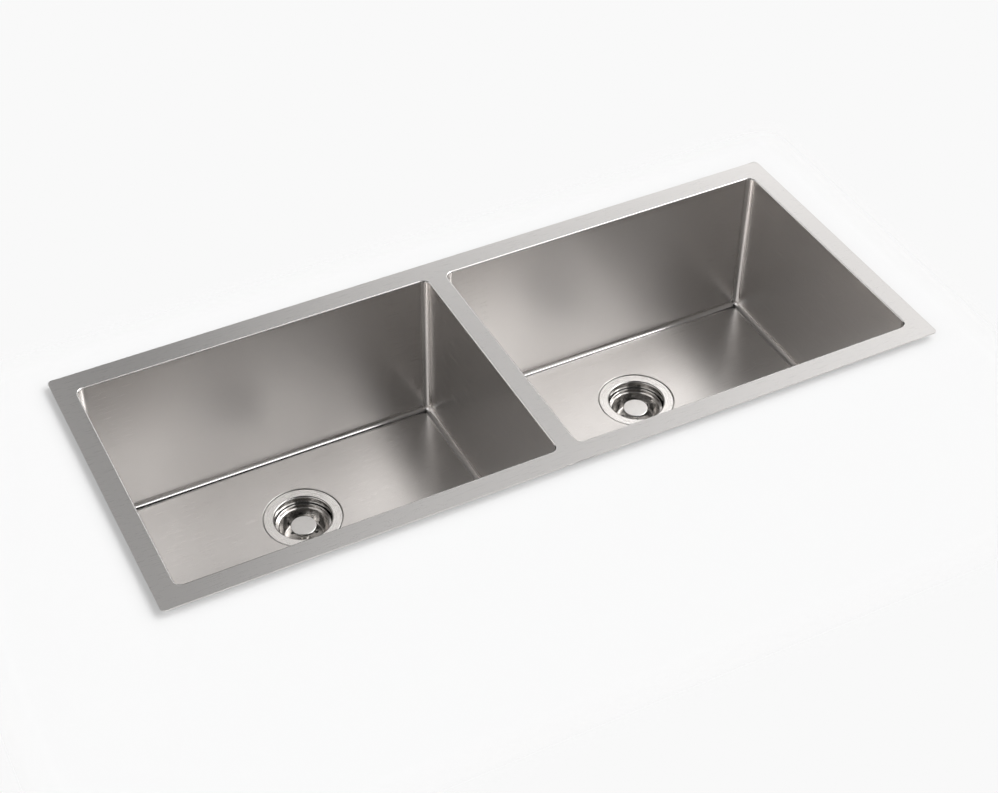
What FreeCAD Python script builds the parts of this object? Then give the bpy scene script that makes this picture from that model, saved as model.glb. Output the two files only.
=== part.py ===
"""A double bowl undermount kitchen sink with a basket strainer in each bowl, in millimetres.

The origin is the middle of the rim's top face. X runs along the sink, -Y faces the user and Z is up.
A bowl is drawn about the middle of its own opening. A drain is drawn about its own axis, with height 0
on the recess floor that its seal lies on.
"""

import FreeCAD
import Part
import math
import os

import Sketcher

Vector = FreeCAD.Vector

# The driving dimensions. Radii and heights are full sizes, and each gap is a named clearance.
SIZES = {
    # rim and bowls
    "rim_length": 1143.0,
    "rim_width": 457.2,
    "rim_corner": 6.0,
    "flange_side": 30.0,
    "flange_front": 31.0,
    "flange_back": 33.0,
    "bridge_width": 30.0,
    "gauge": 1.5,
    "under_bend": 0.5,
    "collar_height": 8.0,
    "bowl_depth": 252.0,
    "bowl_corner": 11.0,
    "floor_bend": 10.0,
    # drain recess in the bowl's floor
    "drain_back": 69.0,
    "recess_margin": 1.2,
    "recess_depth": 3.0,
    "recess_bend": 1.0,
    "drain_hole_clearance": 2.2,
    # rubber pads that quieten the bowls
    "pad_thickness": 3.0,
    "pad_corner": 18.0,
    "floor_pad_margin": 36.0,
    "pad_hole_clearance": 6.0,
    "wall_pad_margin": 90.0,
    "wall_pad_top": 70.0,
    "wall_pad_height": 120.0,
    # strainer body
    "seal_thickness": 1.0,
    "seal_margin": 1.2,
    "strainer_flange_width": 13.45,
    "strainer_flange_thickness": 1.3,
    "throat_radius": 41.8,
    "throat_lip": 2.5,
    "barrel_wall": 1.5,
    "seat_rise": 3.8,
    "cone_depth": 12.0,
    "cone_ledge": 3.5,
    "outlet_thread_radius": 23.6,
    "outlet_wall": 4.1,
    "outlet_length": 28.5,
    "spider_drop": 6.0,
    "spider_height": 4.0,
    "spider_arm_width": 3.5,
    "spider_arm_count": 4,
    "hub_wall": 3.5,
    "hub_clearance": 0.4,
    # parts that clamp the strainer body from below
    "gasket_thickness": 3.0,
    "washer_thickness": 1.0,
    "gasket_lap": 8.5,
    "thread_clearance": 0.15,
    "nut_height": 14.0,
    "nut_wall": 6.55,
    "nut_collar_height": 3.0,
    "nut_lug_reach": 5.0,
    "nut_lug_root": 3.0,
    "nut_lug_width": 8.0,
    "nut_lug_count": 8,
    # basket
    "basket_drop": 12.5,
    "basket_clearance": 1.5,
    "basket_rim_width": 1.2,
    "basket_collar": 6.3,
    "basket_step": 1.5,
    "basket_taper": 6.6,
    "basket_depth": 26.8,
    "basket_wall": 0.8,
    "basket_foot_bend": 4.0,
    "slot_width": 2.4,
    "slot_height": 6.5,
    "slot_lift": 2.0,
    "slot_count": 16,
    "floor_hole_radius": 2.4,
    "floor_hole_margin": 12.0,
    "floor_hole_count": 8,
    # knob, post, stopper and clip
    "knob_drop": 16.0,
    "knob_radius": 19.0,
    "knob_edge": 3.0,
    "knob_round": 1.2,
    "knob_flare": 7.0,
    "knob_height": 14.0,
    "knob_neck_wall": 3.4,
    "knob_bore_depth": 9.0,
    "knob_bore_gap": 1.0,
    "post_radius": 3.0,
    "post_collar_step": 3.0,
    "post_collar_height": 3.0,
    "post_shoulder_step": 1.5,
    "post_foot_step": 1.2,
    "post_foot_height": 1.2,
    "fit_clearance": 0.1,
    "stopper_thickness": 4.5,
    "stopper_bevel": 1.5,
    "stopper_slope": 3.9,
    "stopper_nut_wall": 3.9,
    "stopper_nut_height": 3.0,
    "seat_gap": 0.3,
    "running_clearance": 0.05,
    "clip_wall": 1.55,
    "clip_flange_step": 2.9,
    "clip_flange_height": 1.5,
    "clip_reach": 1.5,
}

# Sizes and heights that follow from the driving dimensions
PLACES = {
    "bowl_length": "(sizes.rim_length - 2 * sizes.flange_side - sizes.bridge_width) / 2",
    "bowl_width": "sizes.rim_width - sizes.flange_front - sizes.flange_back",
    "bowl_offset": "(bowl_length + sizes.bridge_width) / 2",
    "bowl_middle": "(sizes.flange_front - sizes.flange_back) / 2",
    "wall_half_length": "bowl_length / 2 + sizes.gauge",
    "wall_half_width": "bowl_width / 2 + sizes.gauge",
    "wall_pad_middle": "sizes.wall_pad_top + sizes.wall_pad_height / 2",
    "wall_pad_length": "bowl_length - 2 * sizes.wall_pad_margin",
    "end_pad_length": "bowl_width - 2 * sizes.wall_pad_margin",
    "floor_pad_length": "bowl_length - 2 * sizes.floor_pad_margin",
    "floor_pad_width": "bowl_width - 2 * sizes.floor_pad_margin",
    "edge_bend": "sizes.under_bend + sizes.gauge",
    "flange_top": "sizes.seal_thickness + sizes.strainer_flange_thickness",
    "barrel_radius": "sizes.throat_radius + sizes.barrel_wall",
    "strainer_flange_radius": "barrel_radius + sizes.strainer_flange_width",
    "recess_radius": "strainer_flange_radius + sizes.recess_margin",
    "drain_hole_radius": "barrel_radius + sizes.drain_hole_clearance",
    "gasket_radius": "drain_hole_radius + sizes.gasket_lap",
    "basket_rim": "sizes.basket_drop - flange_top",
    "basket_floor": "basket_rim + sizes.basket_depth",
    "basket_foot": "basket_floor + sizes.basket_wall",
    "barrel_depth": "basket_foot - sizes.seat_rise",
    "cone_foot_drop": "barrel_depth + sizes.cone_depth",
    "outlet_bore_radius": "sizes.outlet_thread_radius - sizes.outlet_wall",
    "cone_foot_radius": "outlet_bore_radius + sizes.cone_ledge",
    "outlet_top": "cone_foot_drop + sizes.barrel_wall",
    "outlet_end": "outlet_top + sizes.outlet_length",
    "spider_top": "cone_foot_drop + sizes.spider_drop",
    "spider_foot": "spider_top + sizes.spider_height",
    "spider_reach": "sizes.outlet_thread_radius - sizes.outlet_wall / 2",
    "spider_half_arm": "sizes.spider_arm_width / 2",
    "clip_bore_radius": "sizes.post_radius + sizes.running_clearance",
    "clip_sleeve_radius": "clip_bore_radius + sizes.clip_wall",
    "clip_flange_radius": "clip_sleeve_radius + sizes.clip_flange_step",
    "hub_hole_radius": "clip_sleeve_radius + sizes.hub_clearance",
    "hub_radius": "hub_hole_radius + sizes.hub_wall",
    "gasket_foot": "sizes.gauge + sizes.gasket_thickness",
    "washer_foot": "gasket_foot + sizes.washer_thickness",
    "nut_foot": "washer_foot + sizes.nut_height",
    "nut_bore_radius": "barrel_radius + sizes.thread_clearance",
    "nut_radius": "nut_bore_radius + sizes.nut_wall",
    "nut_lug_radius": "nut_radius + sizes.nut_lug_reach",
    "nut_half_lug": "sizes.nut_lug_width / 2",
    "basket_rim_radius": "sizes.throat_radius - sizes.basket_clearance",
    "basket_top_radius": "basket_rim_radius - sizes.basket_rim_width",
    "basket_step_radius": "basket_top_radius - sizes.basket_step",
    "basket_step_drop": "basket_rim + sizes.basket_collar",
    "basket_foot_radius": "basket_step_radius - sizes.basket_taper",
    "floor_hole_ring": "basket_foot_radius - sizes.floor_hole_margin",
    "slot_foot": "basket_floor - sizes.slot_lift",
    "slot_half_width": "sizes.slot_width / 2",
    "knob_top": "sizes.knob_drop - flange_top",
    "knob_foot": "knob_top + sizes.knob_height",
    "post_bore_radius": "sizes.post_radius + sizes.fit_clearance",
    "knob_neck_radius": "post_bore_radius + sizes.knob_neck_wall",
    "post_collar_radius": "sizes.post_radius + sizes.post_collar_step",
    "post_shoulder_radius": "sizes.post_radius + sizes.post_shoulder_step",
    "post_foot_radius": "sizes.post_radius + sizes.post_foot_step",
    "post_top": "knob_foot - sizes.knob_bore_depth + sizes.knob_bore_gap",
    "stopper_foot": "basket_foot + sizes.stopper_thickness",
    "seat_slope": "sizes.cone_depth / (sizes.throat_radius - cone_foot_radius)",
    "seat_lift": "sizes.seat_gap * sqrt(1 + seat_slope ^ 2)",
    "stopper_radius": "sizes.throat_radius - (stopper_foot - barrel_depth + seat_lift) / seat_slope",
    "stopper_lip_radius": "stopper_radius + sizes.stopper_bevel / seat_slope",
    "stopper_crown_radius": "stopper_radius - sizes.stopper_slope",
    "stopper_nut_foot": "stopper_foot + sizes.stopper_nut_height",
    "nut_half_flats": "post_bore_radius + sizes.stopper_nut_wall",
    "nut_point": "2 * nut_half_flats / sqrt(3)",
    "nut_half_side": "nut_point / 2",
    "clip_flange_foot": "spider_top - sizes.seat_gap",
    "clip_flange_top": "clip_flange_foot - sizes.clip_flange_height",
    "clip_foot": "spider_foot + sizes.clip_reach",
    "post_shoulder": "clip_flange_top - sizes.seat_gap",
    "post_foot_top": "clip_foot + sizes.seat_gap",
    "post_foot": "post_foot_top + sizes.post_foot_height",
}

SIDES = {"left": "- bowl_offset", "right": "bowl_offset"}
BOWL_INSIDE = ("bowl_length", "bowl_width")
BOWL_OUTSIDE = ("bowl_length + gauge + gauge", "bowl_width + gauge + gauge")
NEAR = 0.01

doc = FreeCAD.newDocument("double_bowl_sink")
HOME = {**dict.fromkeys(SIZES, "sizes"), **dict.fromkeys(PLACES, "places")}


# ---- the sheets and their formulas


def fill_sheet(name, cells):
    """A sheet of one named cell per row: the name in column A and what it holds in column B."""
    sheet = doc.addObject("Spreadsheet::Sheet", name)
    for row, (alias, content) in enumerate(cells.items(), start=1):
        sheet.set(f"A{row}", alias)
        sheet.set(f"B{row}", content)
        sheet.setAlias(f"B{row}", alias)
    doc.recompute()
    return sheet


def linked(formula):
    """The formula with each name pointed at the sheet that holds it."""
    return " ".join(f"{HOME[word]}.{word}" if word in HOME else word for word in formula.split())


def measure(formula):
    """What a formula of names, numbers, plus and minus comes to."""
    total = 0.0
    sign = 1.0
    for word in formula.split():
        if word in ("+", "-"):
            sign = 1.0 if word == "+" else -1.0
        else:
            number = getattr(doc.getObject(HOME[word]), word) if word in HOME else float(word)
            total += sign * number
    return total


# ---- sketches


def new_body(label, x="0", y="0", z="0"):
    """An empty body whose place follows three formulas."""
    body = doc.addObject("PartDesign::Body", label)
    body.Label = label
    for axis, formula in (("x", x), ("y", y), ("z", z)):
        body.setExpression(f"Placement.Base.{axis}", linked(formula))
    return body


def sketch_on(body, name, plane="XY_Plane", lift="0"):
    """An empty sketch on one of the body's own planes, lifted along the plane's normal."""
    sketch = body.newObject("Sketcher::SketchObject", f"{body.Label}_{name}")
    support = next(feature for feature in body.Origin.OriginFeatures if feature.Role == plane)
    sketch.AttachmentSupport = (support, [""])
    sketch.MapMode = "FlatFace"
    sketch.setExpression("AttachmentOffset.Base.z", linked(lift))
    return sketch


def hold(sketch, element, vertex, x, y):
    """Tie one vertex of a sketch to linked formulas for its two coordinates."""
    for kind, formula in (("DistanceX", x), ("DistanceY", y)):
        index = sketch.addConstraint(Sketcher.Constraint(kind, -1, 1, element, vertex, 0.0))
        sketch.setExpression(f"Constraints[{index}]", formula)


def draw_profile(sketch, corners):
    """A closed outline of straight lines through corners, each a pair of formulas."""
    points = [Vector(measure(x), measure(y), 0) for x, y in corners]
    first = sketch.GeometryCount
    count = len(points)
    for i in range(count):
        sketch.addGeometry(Part.LineSegment(points[i], points[(i + 1) % count]))
    for i, (x, y) in enumerate(corners):
        following = first + (i + 1) % count
        sketch.addConstraint(Sketcher.Constraint("Coincident", first + i, 2, following, 1))
        hold(sketch, first + i, 1, linked(x), linked(y))


def draw_rectangle(sketch, near_x, far_x, half_width):
    """A rectangle from one distance to another along X, and as far either side of it."""
    low = f"- {half_width}"
    draw_profile(sketch, [(near_x, low), (far_x, low), (far_x, half_width), (near_x, half_width)])


def draw_circle(sketch, radius, x="0", y="0"):
    """A circle given by formulas for its radius and its centre."""
    centre = Vector(measure(x), measure(y), 0)
    circle = sketch.addGeometry(Part.Circle(centre, Vector(0, 0, 1), measure(radius)))
    index = sketch.addConstraint(Sketcher.Constraint("Radius", circle, measure(radius)))
    sketch.setExpression(f"Constraints[{index}]", linked(radius))
    hold(sketch, circle, 3, linked(x), linked(y))


def draw_rounded_rectangle(sketch, length, width, corner, x="0", y="0"):
    """Four corner arcs joined by tangent lines, given by formulas for the full sizes and the middle."""
    radius = measure(corner)
    reach_x = measure(length) / 2 - radius
    reach_y = measure(width) / 2 - radius
    quarter = math.pi / 2
    signs = ((1, 1), (-1, 1), (-1, -1), (1, -1))
    arcs = []
    for i, (sign_x, sign_y) in enumerate(signs):
        centre = Vector(measure(x) + sign_x * reach_x, measure(y) + sign_y * reach_y, 0)
        circle = Part.Circle(centre, Vector(0, 0, 1), radius)
        arc = Part.ArcOfCircle(circle, i * quarter, (i + 1) * quarter)
        arcs.append((sketch.addGeometry(arc), arc))
    for i in range(4):
        index, arc = arcs[i]
        next_index, next_arc = arcs[(i + 1) % 4]
        line = sketch.addGeometry(Part.LineSegment(arc.EndPoint, next_arc.StartPoint))
        sketch.addConstraint(Sketcher.Constraint("Tangent", index, 2, line, 1))
        sketch.addConstraint(Sketcher.Constraint("Tangent", line, 2, next_index, 1))
    for (index, _), (sign_x, sign_y) in zip(arcs, signs):
        rounding = sketch.addConstraint(Sketcher.Constraint("Radius", index, radius))
        sketch.setExpression(f"Constraints[{rounding}]", linked(corner))
        centre_x = f"{linked(x)} + ({sign_x}) * (({linked(length)}) / 2 - ({linked(corner)}))"
        centre_y = f"{linked(y)} + ({sign_y}) * (({linked(width)}) / 2 - ({linked(corner)}))"
        hold(sketch, index, 3, centre_x, centre_y)


# ---- features


def close_feature(body, feature):
    """Make a feature the body's tip, and stop where it failed."""
    body.Tip = feature
    doc.recompute()
    if feature.Shape.isNull() or not feature.isValid():
        raise RuntimeError(f"{feature.Name} of {body.Label} has no valid shape")
    return feature


def pad(body, name, sketch, length, down=False):
    """Material added from a sketch, along its normal or against it."""
    feature = body.newObject("PartDesign::Pad", f"{body.Label}_{name}")
    feature.Profile = sketch
    feature.setExpression("Length", linked(length))
    feature.Reversed = down
    return close_feature(body, feature)


def pocket(body, name, sketch, depth, up=False):
    """Material cut away from a sketch, against its normal or along it. A cut that removes nothing stops."""
    before = body.Tip.Shape.Volume
    feature = body.newObject("PartDesign::Pocket", f"{body.Label}_{name}")
    feature.Profile = sketch
    feature.setExpression("Length", linked(depth))
    feature.Reversed = up
    close_feature(body, feature)
    if feature.Shape.Volume > before - NEAR:
        raise RuntimeError(f"{feature.Name} of {body.Label} cuts nothing")
    return feature


def revolve(body, name, corners):
    """A full turn about the body's own Z axis of an outline of radius and height formulas."""
    sketch = sketch_on(body, f"{name}_profile", "XZ_Plane")
    draw_profile(sketch, corners)
    feature = body.newObject("PartDesign::Revolution", f"{body.Label}_{name}")
    feature.Profile = sketch
    feature.ReferenceAxis = (sketch, ["V_Axis"])
    feature.Angle = 360.0
    return close_feature(body, feature)


def polar(body, name, original, count):
    """Copies of one feature, evenly spaced about the body's Z axis."""
    feature = body.newObject("PartDesign::PolarPattern", f"{body.Label}_{name}")
    feature.Originals = [original]
    axis = next(line for line in body.Origin.OriginFeatures if line.Role == "Z_Axis")
    feature.Axis = (axis, [""])
    feature.Angle = 360.0
    feature.setExpression("Occurrences", linked(count))
    return close_feature(body, feature)


def fillet(body, name, edges, radius):
    """A rounding of the named edges of the body's tip."""
    base = body.Tip
    feature = body.newObject("PartDesign::Fillet", f"{body.Label}_{name}")
    feature.Base = (base, edges)
    feature.setExpression("Radius", linked(radius))
    return close_feature(body, feature)


def edge_names(body, wanted):
    """The names of the tip's edges that pass a test."""
    names = [f"Edge{i}" for i, edge in enumerate(body.Tip.Shape.Edges, start=1) if wanted(edge)]
    if not names:
        raise RuntimeError(f"{body.Label} has no such edge")
    return names


def level_edges(body, height, inside_length, inside_width, middles=((0.0, 0.0),)):
    """Names of the tip's edges at one height that stay inside a rectangle about one of the middles."""
    level = measure(height)
    reach_x = measure(inside_length) / 2 + NEAR
    reach_y = measure(inside_width) / 2 + NEAR

    def wanted(edge):
        box = edge.BoundBox
        flat = abs(box.ZMin - level) < NEAR and abs(box.ZMax - level) < NEAR
        return flat and any(
            max(abs(box.XMin - x), abs(box.XMax - x)) < reach_x
            and max(abs(box.YMin - y), abs(box.YMax - y)) < reach_y
            for x, y in middles
        )

    return edge_names(body, wanted)


def round_edges(body, radius, height):
    """Names of the tip's full circles of one radius at one height."""
    level = measure(height)
    size = measure(radius)

    def wanted(edge):
        if edge.Curve.TypeId != "Part::GeomCircle":
            return False
        return abs(edge.Curve.Radius - size) < NEAR and abs(edge.Curve.Center.z - level) < NEAR

    return edge_names(body, wanted)


# ---- the pressed sink


def make_top_panel():
    """The flat rim sheet, with a drawn collar round each opening for a bowl to be welded to."""
    body = new_body("top_panel")
    sheet = sketch_on(body, "outline")
    draw_rounded_rectangle(sheet, "rim_length", "rim_width", "rim_corner")
    pad(body, "sheet", sheet, "gauge", down=True)

    collars = sketch_on(body, "collar_outlines")
    for x in SIDES.values():
        draw_rounded_rectangle(collars, *BOWL_OUTSIDE, "bowl_corner + gauge", x, "bowl_middle")
    pad(body, "collars", collars, "collar_height", down=True)

    openings = sketch_on(body, "opening_outlines")
    for x in SIDES.values():
        draw_rounded_rectangle(openings, *BOWL_INSIDE, "bowl_corner", x, "bowl_middle")
    pocket(body, "openings", openings, "collar_height")

    middles = [(measure(x), measure("bowl_middle")) for x in SIDES.values()]
    under = level_edges(body, "- gauge", *BOWL_OUTSIDE, middles)
    fillet(body, "under_bend", under, "under_bend")
    fillet(body, "edge_bend", level_edges(body, "0", *BOWL_INSIDE, middles), "edge_bend")
    return body


def make_bowl(side):
    """A straight-sided bowl of one gauge, open at its collar, with a stepped drain recess near the back."""
    body = new_body(f"{side}_bowl", SIDES[side], "bowl_middle")
    outer = sketch_on(body, "outer_outline", lift="- collar_height")
    draw_rounded_rectangle(outer, *BOWL_OUTSIDE, "bowl_corner + gauge")
    pad(body, "block", outer, "bowl_depth + gauge - collar_height", down=True)
    inner = sketch_on(body, "inner_outline", lift="- collar_height")
    draw_rounded_rectangle(inner, *BOWL_INSIDE, "bowl_corner")
    pocket(body, "hollow", inner, "bowl_depth - collar_height")
    fillet(body, "floor_bend", level_edges(body, "- bowl_depth", *BOWL_INSIDE), "floor_bend")
    foot = level_edges(body, "- bowl_depth - gauge", *BOWL_OUTSIDE)
    fillet(body, "outer_floor_bend", foot, "floor_bend + gauge")

    dish = sketch_on(body, "dish_outline", lift="- bowl_depth - gauge")
    draw_circle(dish, "recess_radius + gauge", y="drain_back")
    pad(body, "dish", dish, "recess_depth", down=True)
    recess = sketch_on(body, "recess_outline", lift="- bowl_depth")
    draw_circle(recess, "recess_radius", y="drain_back")
    pocket(body, "recess", recess, "recess_depth")
    hole = sketch_on(body, "drain_hole_outline", lift="- bowl_depth - recess_depth")
    draw_circle(hole, "drain_hole_radius", y="drain_back")
    pocket(body, "drain_hole", hole, "gauge")
    fillet(body, "recess_edge", round_edges(body, "recess_radius", "- bowl_depth"), "recess_bend")
    return body


def make_floor_pad(side):
    """A rubber sheet under the bowl's floor, cut out round the drain."""
    body = new_body(f"{side}_floor_pad", SIDES[side], "bowl_middle")
    outline = sketch_on(body, "outline", lift="- bowl_depth - gauge")
    draw_rounded_rectangle(outline, "floor_pad_length", "floor_pad_width", "pad_corner")
    pad(body, "sheet", outline, "pad_thickness", down=True)
    hole = sketch_on(body, "hole_outline", lift="- bowl_depth - gauge")
    draw_circle(hole, "recess_radius + gauge + pad_hole_clearance", y="drain_back")
    pocket(body, "hole", hole, "pad_thickness")
    return body


def make_wall_pad(side, wall, plane, lift, length, outward):
    """A rubber sheet on the outside of one wall of a bowl."""
    body = new_body(f"{side}_{wall}_pad", SIDES[side], "bowl_middle")
    outline = sketch_on(body, "outline", plane, lift)
    draw_rounded_rectangle(outline, length, "wall_pad_height", "pad_corner", y="- wall_pad_middle")
    pad(body, "sheet", outline, "pad_thickness", down=not outward)
    return body


# ---- the drain


def new_drain_body(side, name):
    """An empty body on the axis of one drain, with height 0 on the recess floor."""
    return new_body(f"{side}_{name}", SIDES[side], "bowl_middle + drain_back", "- bowl_depth - recess_depth")


def make_ring(side, name, inner, outer, top, foot):
    """A flat ring about the drain's axis."""
    body = new_drain_body(side, name)
    revolve(body, "ring", [(inner, top), (outer, top), (outer, foot), (inner, foot)])
    return body


def make_strainer_body(side):
    """The flanged cup that passes through the drain hole, with the stopper's seat round its foot."""
    body = new_drain_body(side, "strainer_body")
    revolve(
        body,
        "cup",
        [
            ("throat_radius", "flange_top"),
            ("strainer_flange_radius", "flange_top"),
            ("strainer_flange_radius", "seal_thickness"),
            ("barrel_radius", "seal_thickness"),
            ("barrel_radius", "- barrel_depth - barrel_wall"),
            ("outlet_thread_radius", "- outlet_top"),
            ("outlet_bore_radius", "- outlet_top"),
            ("outlet_bore_radius", "- cone_foot_drop"),
            ("cone_foot_radius", "- cone_foot_drop"),
            ("throat_radius", "- barrel_depth"),
        ],
    )
    fillet(body, "throat_lip", round_edges(body, "throat_radius", "flange_top"), "throat_lip")
    return body


def make_outlet(side):
    """The threaded tail brazed under the cup, with the spider that bridges its bore."""
    body = new_drain_body(side, "outlet")
    revolve(
        body,
        "tail",
        [
            ("outlet_bore_radius", "- outlet_top"),
            ("outlet_thread_radius", "- outlet_top"),
            ("outlet_thread_radius", "- outlet_end"),
            ("outlet_bore_radius", "- outlet_end"),
        ],
    )
    arm = sketch_on(body, "spider_arm_outline", lift="- spider_foot")
    draw_rectangle(arm, "hub_hole_radius", "spider_reach", "spider_half_arm")
    first_arm = pad(body, "spider_arm", arm, "spider_height")
    polar(body, "spider", first_arm, "spider_arm_count")
    hub = sketch_on(body, "hub_outline", lift="- spider_foot")
    draw_circle(hub, "hub_radius")
    pad(body, "hub", hub, "spider_height")
    hole = sketch_on(body, "hub_hole_outline", lift="- spider_top")
    draw_circle(hole, "hub_hole_radius")
    pocket(body, "hub_hole", hole, "spider_height")
    return body


def make_lock_nut(side):
    """The ring nut on the strainer's barrel, with a pressing collar and lugs for a spanner."""
    body = new_drain_body(side, "lock_nut")
    bore = "nut_bore_radius"
    revolve(
        body,
        "ring",
        [
            (bore, "- washer_foot"),
            ("gasket_radius", "- washer_foot"),
            ("gasket_radius", "- washer_foot - nut_collar_height"),
            ("nut_radius", "- washer_foot - nut_collar_height"),
            ("nut_radius", "- nut_foot"),
            (bore, "- nut_foot"),
        ],
    )
    lug = sketch_on(body, "lug_outline", lift="- nut_foot")
    draw_rectangle(lug, "nut_radius - nut_lug_root", "nut_lug_radius", "nut_half_lug")
    first_lug = pad(body, "lug", lug, "nut_height - nut_collar_height")
    polar(body, "lugs", first_lug, "nut_lug_count")
    return body


def make_basket(side):
    """The pressed cup that lifts out of the strainer, slotted round its wall and pierced in its floor."""
    body = new_drain_body(side, "basket")
    revolve(
        body,
        "cup",
        [
            ("basket_top_radius - basket_wall", "- basket_rim"),
            ("basket_rim_radius", "- basket_rim"),
            ("basket_rim_radius", "- basket_rim - basket_wall"),
            ("basket_top_radius", "- basket_rim - basket_wall"),
            ("basket_top_radius", "- basket_step_drop - basket_wall"),
            ("basket_step_radius", "- basket_step_drop - basket_wall"),
            ("basket_foot_radius", "- basket_foot"),
            ("post_bore_radius", "- basket_foot"),
            ("post_bore_radius", "- basket_floor"),
            ("basket_foot_radius - basket_wall", "- basket_floor"),
            ("basket_step_radius - basket_wall", "- basket_step_drop"),
            ("basket_top_radius - basket_wall", "- basket_step_drop"),
        ],
    )
    outer_foot = round_edges(body, "basket_foot_radius", "- basket_foot")
    fillet(body, "outer_foot_bend", outer_foot, "basket_foot_bend")
    inner_foot = round_edges(body, "basket_foot_radius - basket_wall", "- basket_floor")
    fillet(body, "inner_foot_bend", inner_foot, "basket_foot_bend - basket_wall")

    slot = sketch_on(body, "slot_outline", "XZ_Plane")
    foot, head = "- slot_foot", "- slot_foot + slot_height"
    draw_profile(
        slot,
        [
            ("- slot_half_width", foot),
            ("slot_half_width", foot),
            ("slot_half_width", head),
            ("- slot_half_width", head),
        ],
    )
    first_slot = pocket(body, "slot", slot, "basket_rim_radius")
    polar(body, "slots", first_slot, "slot_count")
    hole = sketch_on(body, "floor_hole_outline", lift="- basket_floor")
    draw_circle(hole, "floor_hole_radius", x="floor_hole_ring")
    first_hole = pocket(body, "floor_hole", hole, "basket_wall")
    polar(body, "floor_holes", first_hole, "floor_hole_count")
    return body


def make_knob(side):
    """The flat-topped mushroom knob, bored from below for the post."""
    body = new_drain_body(side, "knob")
    bore = "post_bore_radius"
    revolve(
        body,
        "mushroom",
        [
            ("0", "- knob_top"),
            ("knob_radius", "- knob_top"),
            ("knob_radius", "- knob_top - knob_edge"),
            ("knob_neck_radius", "- knob_top - knob_edge - knob_flare"),
            ("knob_neck_radius", "- knob_foot"),
            (bore, "- knob_foot"),
            (bore, "- knob_foot + knob_bore_depth"),
            ("0", "- knob_foot + knob_bore_depth"),
        ],
    )
    fillet(body, "edge", round_edges(body, "knob_radius", "- knob_top"), "knob_round")
    return body


def make_post(side):
    """The stepped post, with a collar on the basket's floor, a shoulder over the clip and a foot under it."""
    body = new_drain_body(side, "post")
    revolve(
        body,
        "turned",
        [
            ("0", "- post_top"),
            ("post_radius", "- post_top"),
            ("post_radius", "- basket_floor + post_collar_height"),
            ("post_collar_radius", "- basket_floor + post_collar_height"),
            ("post_collar_radius", "- basket_floor"),
            ("post_radius", "- basket_floor"),
            ("post_radius", "- stopper_nut_foot"),
            ("post_shoulder_radius", "- stopper_nut_foot"),
            ("post_shoulder_radius", "- post_shoulder"),
            ("post_radius", "- post_shoulder"),
            ("post_radius", "- post_foot_top"),
            ("post_foot_radius", "- post_foot_top"),
            ("post_foot_radius", "- post_foot"),
            ("0", "- post_foot"),
        ],
    )
    return body


def make_stopper(side):
    """The rubber disc under the basket, whose bevelled lip lies parallel to the strainer's seat."""
    body = new_drain_body(side, "stopper")
    bore = "post_bore_radius"
    revolve(
        body,
        "disc",
        [
            (bore, "- basket_foot"),
            ("stopper_crown_radius", "- basket_foot"),
            ("stopper_lip_radius", "- stopper_foot + stopper_bevel"),
            ("stopper_radius", "- stopper_foot"),
            (bore, "- stopper_foot"),
        ],
    )
    return body


def make_stopper_nut(side):
    """The hexagon nut that holds the stopper against the basket."""
    body = new_drain_body(side, "stopper_nut")
    outline = sketch_on(body, "outline", lift="- stopper_nut_foot")
    draw_profile(
        outline,
        [
            ("nut_half_flats", "- nut_half_side"),
            ("nut_half_flats", "nut_half_side"),
            ("0", "nut_point"),
            ("- nut_half_flats", "nut_half_side"),
            ("- nut_half_flats", "- nut_half_side"),
            ("0", "- nut_point"),
        ],
    )
    draw_circle(outline, "post_bore_radius")
    pad(body, "hexagon", outline, "stopper_nut_height")
    return body


def make_clip(side):
    """The nylon bush that drops into the spider's hub and carries the turning post."""
    body = new_drain_body(side, "clip")
    bore = "clip_bore_radius"
    revolve(
        body,
        "bush",
        [
            (bore, "- clip_flange_top"),
            ("clip_flange_radius", "- clip_flange_top"),
            ("clip_flange_radius", "- clip_flange_foot"),
            ("clip_sleeve_radius", "- clip_flange_foot"),
            ("clip_sleeve_radius", "- clip_foot"),
            (bore, "- clip_foot"),
        ],
    )
    return body


def make_side(side):
    """Every piece of one bowl and its drain."""
    outward = side == "right"
    end_lift = "wall_half_length" if outward else "- wall_half_length"
    seal_inside = "drain_hole_radius + seal_margin"
    seal_outside = "strainer_flange_radius - seal_margin"
    clamp_inside = "barrel_radius + seal_margin"
    return [
        make_bowl(side),
        make_floor_pad(side),
        make_wall_pad(side, "front", "XZ_Plane", "wall_half_width", "wall_pad_length", True),
        make_wall_pad(side, "back", "XZ_Plane", "- wall_half_width", "wall_pad_length", False),
        make_wall_pad(side, "end", "YZ_Plane", end_lift, "end_pad_length", outward),
        make_strainer_body(side),
        make_outlet(side),
        make_ring(side, "flange_seal", seal_inside, seal_outside, "seal_thickness", "0"),
        make_ring(side, "under_gasket", clamp_inside, "gasket_radius", "- gauge", "- gasket_foot"),
        make_ring(side, "friction_washer", clamp_inside, "gasket_radius", "- gasket_foot", "- washer_foot"),
        make_lock_nut(side),
        make_basket(side),
        make_knob(side),
        make_post(side),
        make_stopper(side),
        make_stopper_nut(side),
        make_clip(side),
    ]


def check(bodies):
    """Stop unless every object recomputed and every piece is one valid solid."""
    doc.recompute()
    for item in doc.Objects:
        if {"Invalid", "Error"} & set(item.State):
            raise RuntimeError(f"{item.Name} is {item.State}")
    for body in bodies:
        if body.Shape.isNull() or not body.Shape.isValid() or len(body.Shape.Solids) != 1:
            raise RuntimeError(f"{body.Label} is not one valid solid")


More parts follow.
